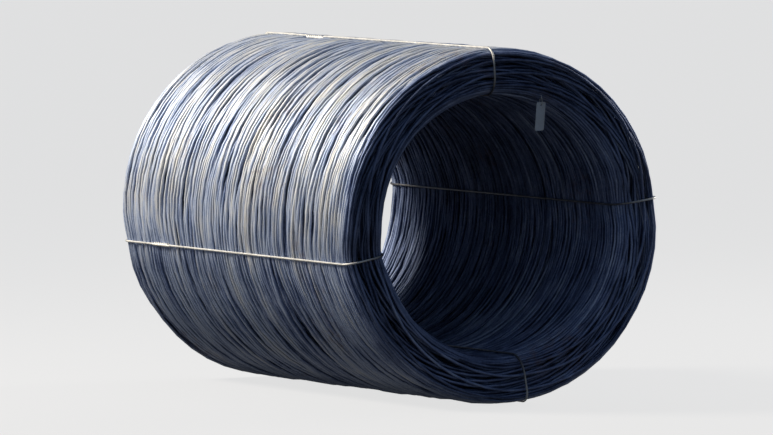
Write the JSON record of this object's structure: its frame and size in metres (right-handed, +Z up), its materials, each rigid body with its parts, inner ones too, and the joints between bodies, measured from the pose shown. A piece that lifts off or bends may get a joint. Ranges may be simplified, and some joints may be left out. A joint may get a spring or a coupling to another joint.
{
  "type": "coil of wire rod",
  "caption": "Open coil of hot rolled steel wire rod lying on its side, with a wide round bore and wire ties over its wall.",
  "frame": {"origin": "on the floor under the middle of the coil, at the bottom centre of its box", "axes": "Y along the coil's own level axis, the end seen first faces -Y, Z up, X to the right seen from that end"},
  "size_m": [1.2498, 1.8, 1.2498],
  "materials": {
    "mill_scale_rod": "blue-grey mill scale",
    "tie_wire": "plain steel wire"
  },
  "bodies": {
    "root": {"wire_coil": "mill_scale_rod", "tie_top": "tie_wire", "tie_right": "tie_wire", "tie_bottom": "tie_wire", "tie_left": "tie_wire"}
  },
  "joints": []
}
